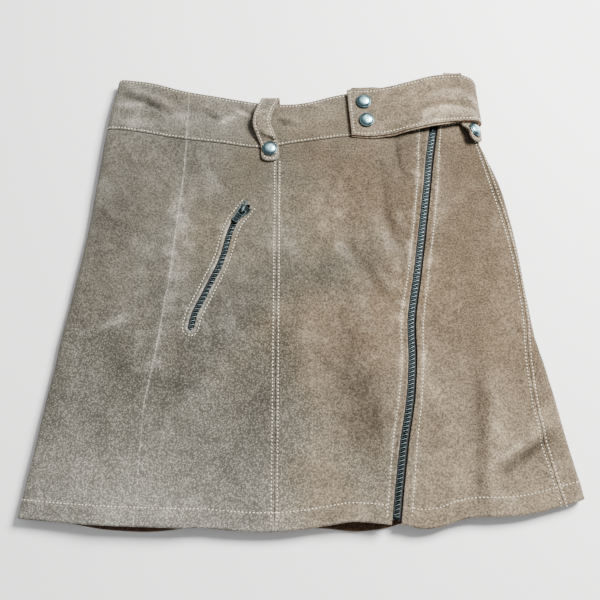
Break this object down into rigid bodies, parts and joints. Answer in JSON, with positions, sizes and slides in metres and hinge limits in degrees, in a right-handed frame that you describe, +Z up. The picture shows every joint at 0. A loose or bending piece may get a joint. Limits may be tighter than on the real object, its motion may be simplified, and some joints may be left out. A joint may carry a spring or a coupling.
{
  "type": "suede mini skirt",
  "caption": "Flared suede mini skirt laid flat, with a slanted front zip, a zipped pocket, belt loops and a snapped waist tab.",
  "frame": {"origin": "on the surface that the skirt lies on, under the middle of its outline", "axes": "+X across the skirt to the right as seen from above its front, +Y from the hem to the waist, +Z up from the surface"},
  "size_m": [0.443, 0.4054, 0.0234],
  "materials": {
    "suede": "brushed nap, matt, taupe",
    "zip_tape": "black woven tape",
    "zip_metal": "dark gunmetal",
    "snap_metal": "blue-grey gunmetal, satin"
  },
  "bodies": {
    "skirt": {"front_side_left": "suede", "front_centre_left": "suede", "front_centre_right": "suede", "front_side_right": "suede", "back_panel": "suede", "band_side_left": "suede", "band_front": "suede", "band_side_right": "suede", "band_back": "suede", "strap_face": "suede", "strap_under": "suede", "loop_front": "suede", "loop_side": "suede", "zip_main_tape_left": "zip_tape", "zip_main_tape_right": "zip_tape", "zip_main_chain": "zip_metal", "zip_main_slider": "zip_metal", "zip_pocket_tape_left": "zip_tape", "zip_pocket_tape_right": "zip_tape", "zip_pocket_chain": "zip_metal", "zip_pocket_slider": "zip_metal", "snap_strap_upper": "snap_metal", "snap_strap_lower": "snap_metal", "snap_loop_front": "snap_metal", "snap_loop_side": "snap_metal"},
    "front_pull": {"zip_main_pull": "zip_metal"},
    "pocket_pull": {"zip_pocket_pull": "zip_metal"}
  },
  "joints": [
    {"name": "pocket_pull_swing", "type": "hinge", "parent": "skirt", "child": "pocket_pull", "pos_m": [-0.05077, 0.0659, 0.01491], "axis": [-0.805, 0.5933, 0], "range_deg": [0, 175]},
    {"name": "front_pull_swing", "type": "hinge", "parent": "skirt", "child": "front_pull", "pos_m": [0.12293, 0.1865, 0.01502], "axis": [-0.9935, 0.1138, 0], "range_deg": [0, 7]}
  ]
}
